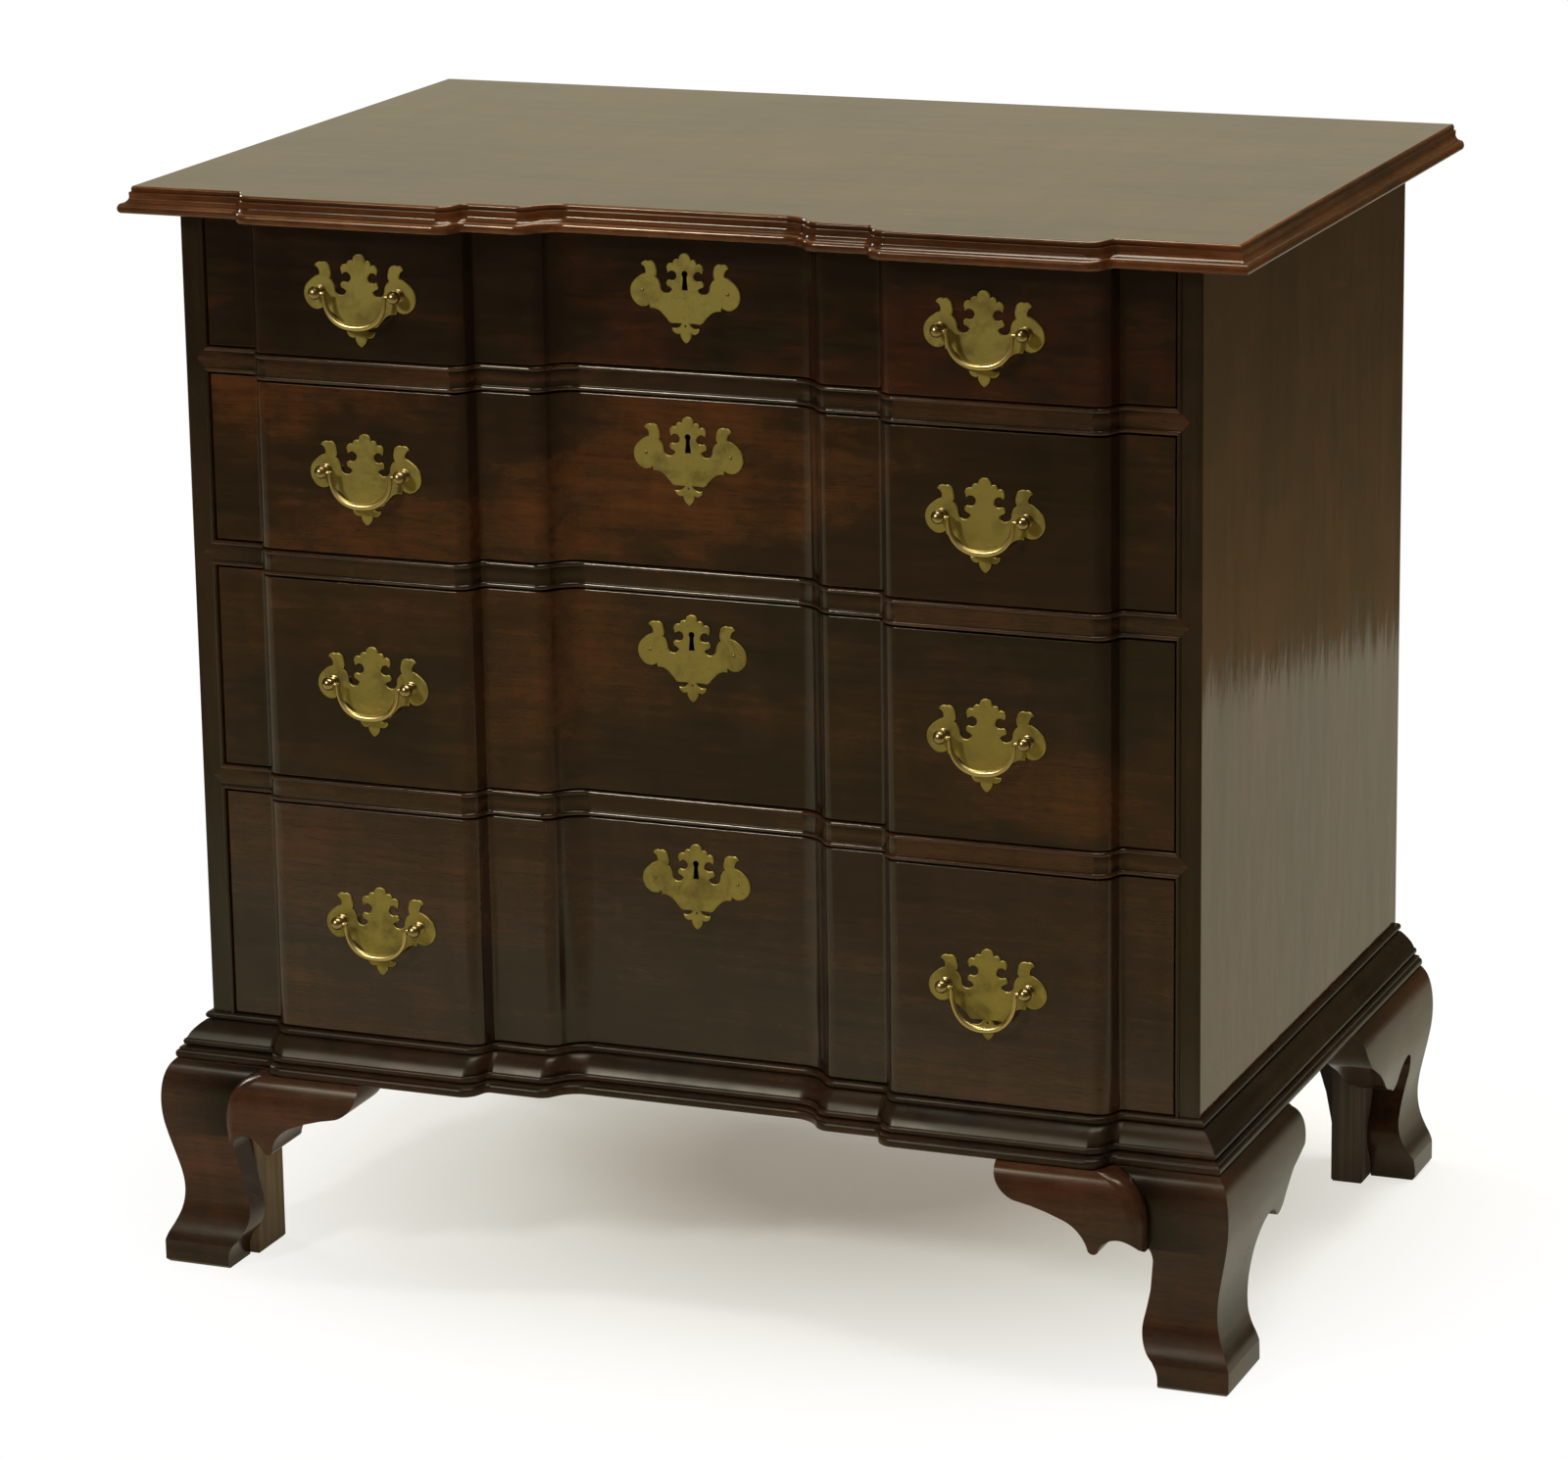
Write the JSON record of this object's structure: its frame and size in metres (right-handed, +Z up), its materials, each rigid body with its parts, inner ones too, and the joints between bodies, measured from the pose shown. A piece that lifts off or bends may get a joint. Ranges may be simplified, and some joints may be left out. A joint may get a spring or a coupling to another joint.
{
  "type": "block front chest",
  "caption": "Low chest of graduated drawers with a blocked front, conforming moulded top, ogee bracket feet, batwing pulls and locks.",
  "frame": {"origin": "on the floor, under the middle of the bounding box", "axes": "+X to the right as seen from the front, +Y to the back, +Z up"},
  "size_m": [0.88, 0.594, 0.845],
  "materials": {
    "mahogany": "glossy varnish, dark with age",
    "pine": "bare, aged",
    "brass": "satin, toned",
    "iron": "dark"
  },
  "bodies": {
    "carcase": {"top_board": "mahogany", "side_left": "mahogany", "side_right": "mahogany", "bottom_board": "pine", "back_boards": "pine", "blade_upper": "mahogany", "blade_middle": "mahogany", "blade_lower": "mahogany", "drawer_runners": "pine", "base_mould_front": "mahogany", "base_mould_left": "mahogany", "base_mould_right": "mahogany", "foot_front_left": "mahogany", "foot_front_right": "mahogany", "foot_back_left": "mahogany", "foot_back_right": "mahogany", "foot_blocks": "pine"},
    "drawer_1": {"drawer_1_front": "mahogany", "drawer_1_sides": "pine", "drawer_1_back": "pine", "drawer_1_bottom": "pine", "drawer_1_brasses": "brass", "drawer_1_posts": "brass", "drawer_1_lock": "iron"},
    "drawer_1_bail_left": {"drawer_1_bail_left": "brass"},
    "drawer_1_bail_right": {"drawer_1_bail_right": "brass"},
    "drawer_1_bolt": {"drawer_1_bolt": "iron"},
    "drawer_2": {"drawer_2_front": "mahogany", "drawer_2_sides": "pine", "drawer_2_back": "pine", "drawer_2_bottom": "pine", "drawer_2_brasses": "brass", "drawer_2_posts": "brass", "drawer_2_lock": "iron"},
    "drawer_2_bail_left": {"drawer_2_bail_left": "brass"},
    "drawer_2_bail_right": {"drawer_2_bail_right": "brass"},
    "drawer_2_bolt": {"drawer_2_bolt": "iron"},
    "drawer_3": {"drawer_3_front": "mahogany", "drawer_3_sides": "pine", "drawer_3_back": "pine", "drawer_3_bottom": "pine", "drawer_3_brasses": "brass", "drawer_3_posts": "brass", "drawer_3_lock": "iron"},
    "drawer_3_bail_left": {"drawer_3_bail_left": "brass"},
    "drawer_3_bail_right": {"drawer_3_bail_right": "brass"},
    "drawer_3_bolt": {"drawer_3_bolt": "iron"},
    "drawer_4": {"drawer_4_front": "mahogany", "drawer_4_sides": "pine", "drawer_4_back": "pine", "drawer_4_bottom": "pine", "drawer_4_brasses": "brass", "drawer_4_posts": "brass", "drawer_4_lock": "iron"},
    "drawer_4_bail_left": {"drawer_4_bail_left": "brass"},
    "drawer_4_bail_right": {"drawer_4_bail_right": "brass"},
    "drawer_4_bolt": {"drawer_4_bolt": "iron"}
  },
  "joints": [
    {"name": "drawer_1_slide", "type": "slide", "parent": "carcase", "child": "drawer_1", "axis": [0, -1, 0], "range_m": [0, 0.4]},
    {"name": "drawer_1_bail_left_swing", "type": "hinge", "parent": "drawer_1", "child": "drawer_1_bail_left", "pos_m": [-0.244, -0.2756, 0.77475], "axis": [-1, 0, 0], "range_deg": [-8, 165]},
    {"name": "drawer_1_bail_right_swing", "type": "hinge", "parent": "drawer_1", "child": "drawer_1_bail_right", "pos_m": [0.244, -0.2756, 0.77475], "axis": [-1, 0, 0], "range_deg": [-8, 165]},
    {"name": "drawer_1_bolt_throw", "type": "slide", "parent": "drawer_1", "child": "drawer_1_bolt", "axis": [0, 0, 1], "range_m": [0, 0.006]},
    {"name": "drawer_2_slide", "type": "slide", "parent": "carcase", "child": "drawer_2", "axis": [0, -1, 0], "range_m": [0, 0.4]},
    {"name": "drawer_2_bail_left_swing", "type": "hinge", "parent": "drawer_2", "child": "drawer_2_bail_left", "pos_m": [-0.244, -0.2756, 0.63975], "axis": [-1, 0, 0], "range_deg": [-8, 165]},
    {"name": "drawer_2_bail_right_swing", "type": "hinge", "parent": "drawer_2", "child": "drawer_2_bail_right", "pos_m": [0.244, -0.2756, 0.63975], "axis": [-1, 0, 0], "range_deg": [-8, 165]},
    {"name": "drawer_2_bolt_throw", "type": "slide", "parent": "drawer_2", "child": "drawer_2_bolt", "axis": [0, 0, 1], "range_m": [0, 0.006]},
    {"name": "drawer_3_slide", "type": "slide", "parent": "carcase", "child": "drawer_3", "axis": [0, -1, 0], "range_m": [0, 0.4]},
    {"name": "drawer_3_bail_left_swing", "type": "hinge", "parent": "drawer_3", "child": "drawer_3_bail_left", "pos_m": [-0.244, -0.2756, 0.47725], "axis": [-1, 0, 0], "range_deg": [-8, 165]},
    {"name": "drawer_3_bail_right_swing", "type": "hinge", "parent": "drawer_3", "child": "drawer_3_bail_right", "pos_m": [0.244, -0.2756, 0.47725], "axis": [-1, 0, 0], "range_deg": [-8, 165]},
    {"name": "drawer_3_bolt_throw", "type": "slide", "parent": "drawer_3", "child": "drawer_3_bolt", "axis": [0, 0, 1], "range_m": [0, 0.006]},
    {"name": "drawer_4_slide", "type": "slide", "parent": "carcase", "child": "drawer_4", "axis": [0, -1, 0], "range_m": [0, 0.4]},
    {"name": "drawer_4_bail_left_swing", "type": "hinge", "parent": "drawer_4", "child": "drawer_4_bail_left", "pos_m": [-0.244, -0.2756, 0.2895], "axis": [-1, 0, 0], "range_deg": [-8, 165]},
    {"name": "drawer_4_bail_right_swing", "type": "hinge", "parent": "drawer_4", "child": "drawer_4_bail_right", "pos_m": [0.244, -0.2756, 0.2895], "axis": [-1, 0, 0], "range_deg": [-8, 165]},
    {"name": "drawer_4_bolt_throw", "type": "slide", "parent": "drawer_4", "child": "drawer_4_bolt", "axis": [0, 0, 1], "range_m": [0, 0.006]}
  ]
}
